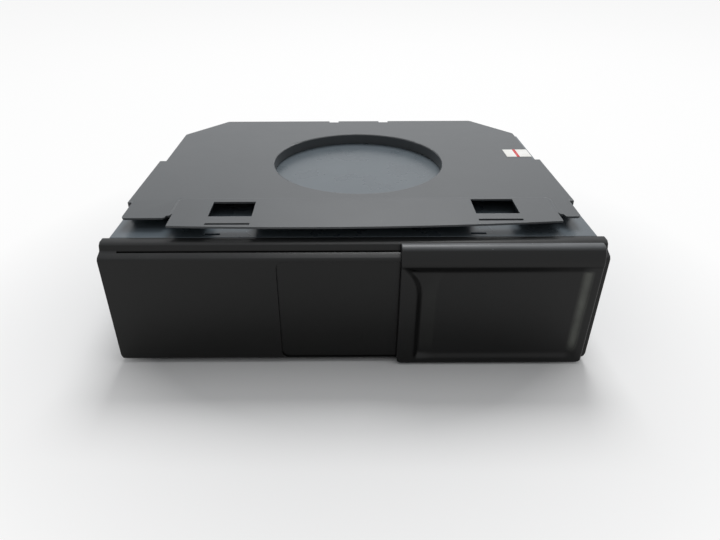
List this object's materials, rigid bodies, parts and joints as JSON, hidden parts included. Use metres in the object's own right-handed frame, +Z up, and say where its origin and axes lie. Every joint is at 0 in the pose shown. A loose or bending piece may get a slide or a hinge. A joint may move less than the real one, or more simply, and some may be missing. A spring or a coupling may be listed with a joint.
{
  "type": "car cd changer",
  "caption": "Flat box-shaped car disc changer with a sliding front door, a magazine of swinging disc trays, a lifting play deck and a pierced mounting plate on top.",
  "frame": {"origin": "centre of the flat underside of the case", "axes": "+X to the right seen from the front, +Y from the front face to the back, +Z up"},
  "size_m": [0.2594, 0.1962, 0.0809],
  "materials": {
    "fascia_plastic": "fine-grained black moulding",
    "door_plastic": "satin black moulding",
    "plate_paint": "satin grey-black",
    "case_paint": "satin black sheet",
    "label_paper": "matt white",
    "bare_steel": "zinc-plated",
    "brass": "turned",
    "frame_steel": "zinc-plated sheet",
    "grey_plastic": "moulded",
    "white_plastic": "acetal",
    "black_plastic": "moulded",
    "tray_plastic": "moulded",
    "disc_face": "mirror-like polycarbonate",
    "rubber": "soft",
    "spring_steel": "wire",
    "lens_glass": "coated",
    "board_green": "solder resist",
    "part_black": "moulded"
  },
  "bodies": {
    "case": {"base_plate": "case_paint", "case_walls": "case_paint", "top_cover": "case_paint", "case_screws": "bare_steel", "side_nuts": "bare_steel", "transport_screws": "bare_steel", "rear_socket": "black_plastic", "front_fascia": "fascia_plastic", "eject_switch": "part_black", "front_board": "board_green", "mounting_plate": "plate_paint", "plate_screws": "bare_steel", "plate_label": "label_paper", "mech_frame": "frame_steel", "magazine_rails": "white_plastic", "dampers": "rubber", "damper_springs": "spring_steel", "guide_posts": "bare_steel", "cam_studs": "bare_steel", "gear_stub": "bare_steel", "lift_motor": "bare_steel", "eject_motor": "bare_steel", "main_board": "board_green", "board_studs": "brass", "board_parts": "part_black"},
    "door": {"sliding_door": "door_plastic"},
    "shutter": {"inner_shutter": "fascia_plastic"},
    "button": {"eject_button": "black_plastic"},
    "magazine": {"magazine_case": "black_plastic", "magazine_lid": "black_plastic", "magazine_pin": "bare_steel"},
    "ejector_slide": {"ejector": "frame_steel"},
    "ejector_pinion": {"eject_pinion": "brass"},
    "deck": {"lift_deck": "frame_steel", "spindle_motor": "bare_steel", "clamp_pin": "bare_steel", "sled_rods": "bare_steel", "sled_motor": "bare_steel"},
    "cam": {"lift_cam": "frame_steel"},
    "gear_pair": {"lift_gear": "white_plastic"},
    "motor_gear": {"motor_pinion": "brass"},
    "table": {"turntable": "black_plastic"},
    "clamp": {"clamp_arm": "frame_steel"},
    "puck": {"clamp_puck": "black_plastic"},
    "sled": {"pickup_sled": "grey_plastic", "pickup_lens": "lens_glass"},
    "sled_gear": {"sled_pinion": "brass"},
    "hook": {"tray_hook": "white_plastic"},
    "tray_body_1": {"tray_1": "tray_plastic", "disc_1": "disc_face"},
    "tray_body_2": {"tray_2": "tray_plastic", "disc_2": "disc_face"},
    "tray_body_3": {"tray_3": "tray_plastic", "disc_3": "disc_face"},
    "tray_body_4": {"tray_4": "tray_plastic", "disc_4": "disc_face"},
    "tray_body_5": {"tray_5": "tray_plastic", "disc_5": "disc_face"},
    "tray_body_6": {"tray_6": "tray_plastic", "disc_6": "disc_face"}
  },
  "joints": [
    {"name": "door_slide", "type": "slide", "parent": "case", "child": "door", "axis": [-1, 0, 0], "range_m": [0, 0.1423]},
    {"name": "shutter_slide", "type": "slide", "parent": "case", "child": "shutter", "axis": [-1, 0, 0], "range_m": [0, 0.04772]},
    {"name": "button_press", "type": "slide", "parent": "case", "child": "button", "axis": [0, 1, 0], "range_m": [0, 0.002], "stiffness_N_per_m": 400},
    {"name": "magazine_slide", "type": "slide", "parent": "case", "child": "magazine", "axis": [0, -1, 0], "range_m": [0, 0.013]},
    {"name": "ejector_slide", "type": "slide", "parent": "case", "child": "ejector_slide", "axis": [0, -1, 0], "range_m": [0, 0.01301]},
    {"name": "ejector_pinion_turn", "type": "hinge", "parent": "case", "child": "ejector_pinion", "pos_m": [0.06517, 0.04297, 0.0037], "axis": [0, 0, 1], "range_deg": [0, 133.07]},
    {"name": "lift_raise", "type": "slide", "parent": "case", "child": "deck", "axis": [0, 0, 1], "range_m": [0, 0.0322]},
    {"name": "cam_slide", "type": "slide", "parent": "case", "child": "cam", "axis": [0, -1, 0], "range_m": [0, 0.03222]},
    {"name": "lift_gear_turn", "type": "hinge", "parent": "case", "child": "gear_pair", "pos_m": [-0.11257, 0.04193, 0.05607], "axis": [-1, 0, 0], "range_deg": [0, 329.62]},
    {"name": "motor_pinion_turn", "type": "hinge", "parent": "case", "child": "motor_gear", "pos_m": [-0.11097, 0.05508, 0.06086], "axis": [1, 0, 0], "range_deg": [0, 824.04]},
    {"name": "turntable_spin", "type": "hinge", "parent": "deck", "child": "table", "pos_m": [-0.03337, -0.00321, 0.0143], "axis": [0, 0, 1], "continuous": true},
    {"name": "clamp_lift", "type": "hinge", "parent": "deck", "child": "clamp", "pos_m": [-0.10567, -0.00321, 0.0187], "axis": [0, -1, 0], "range_deg": [0, 5]},
    {"name": "puck_spin", "type": "hinge", "parent": "clamp", "child": "puck", "pos_m": [-0.03337, -0.00321, 0.0143], "axis": [0, 0, 1], "continuous": true},
    {"name": "sled_slide", "type": "slide", "parent": "deck", "child": "sled", "axis": [-1, 0, 0], "range_m": [0, 0.034]},
    {"name": "sled_pinion_turn", "type": "hinge", "parent": "deck", "child": "sled_gear", "pos_m": [-0.06937, 0.01929, 0.0143], "axis": [0, 0, -1], "range_deg": [0, 487.26]},
    {"name": "hook_slide", "type": "slide", "parent": "deck", "child": "hook", "axis": [-1, 0, 0], "range_m": [0, 0.03]},
    {"name": "tray_1_swing", "type": "hinge", "parent": "magazine", "child": "tray_body_1", "pos_m": [-0.00853, 0.07467, 0.0205], "axis": [0, 0, 1], "range_deg": [-62, 0]},
    {"name": "tray_2_swing", "type": "hinge", "parent": "magazine", "child": "tray_body_2", "pos_m": [-0.00853, 0.07467, 0.0255], "axis": [0, 0, 1], "range_deg": [-62, 0]},
    {"name": "tray_3_swing", "type": "hinge", "parent": "magazine", "child": "tray_body_3", "pos_m": [-0.00853, 0.07467, 0.0305], "axis": [0, 0, 1], "range_deg": [-62, 0]},
    {"name": "tray_4_swing", "type": "hinge", "parent": "magazine", "child": "tray_body_4", "pos_m": [-0.00853, 0.07467, 0.0355], "axis": [0, 0, 1], "range_deg": [-62, 0]},
    {"name": "tray_5_swing", "type": "hinge", "parent": "magazine", "child": "tray_body_5", "pos_m": [-0.00853, 0.07467, 0.0405], "axis": [0, 0, 1], "range_deg": [-62, 0]},
    {"name": "tray_6_swing", "type": "hinge", "parent": "magazine", "child": "tray_body_6", "pos_m": [-0.00853, 0.07467, 0.0455], "axis": [0, 0, 1], "range_deg": [-62, 0]}
  ],
  "couplings": [
    {"joint": "shutter_slide", "follows": "door_slide", "ratio": 0.33521},
    {"joint": "ejector_slide", "follows": "magazine_slide", "ratio": 1},
    {"joint": "ejector_pinion_turn", "follows": "magazine_slide", "rad_per_m": 178.57},
    {"joint": "cam_slide", "follows": "lift_raise", "ratio": 1},
    {"joint": "lift_gear_turn", "follows": "lift_raise", "rad_per_m": 178.57},
    {"joint": "motor_pinion_turn", "follows": "lift_raise", "rad_per_m": 446.43},
    {"joint": "puck_spin", "follows": "turntable_spin", "ratio": 1},
    {"joint": "sled_pinion_turn", "follows": "sled_slide", "rad_per_m": 250}
  ]
}
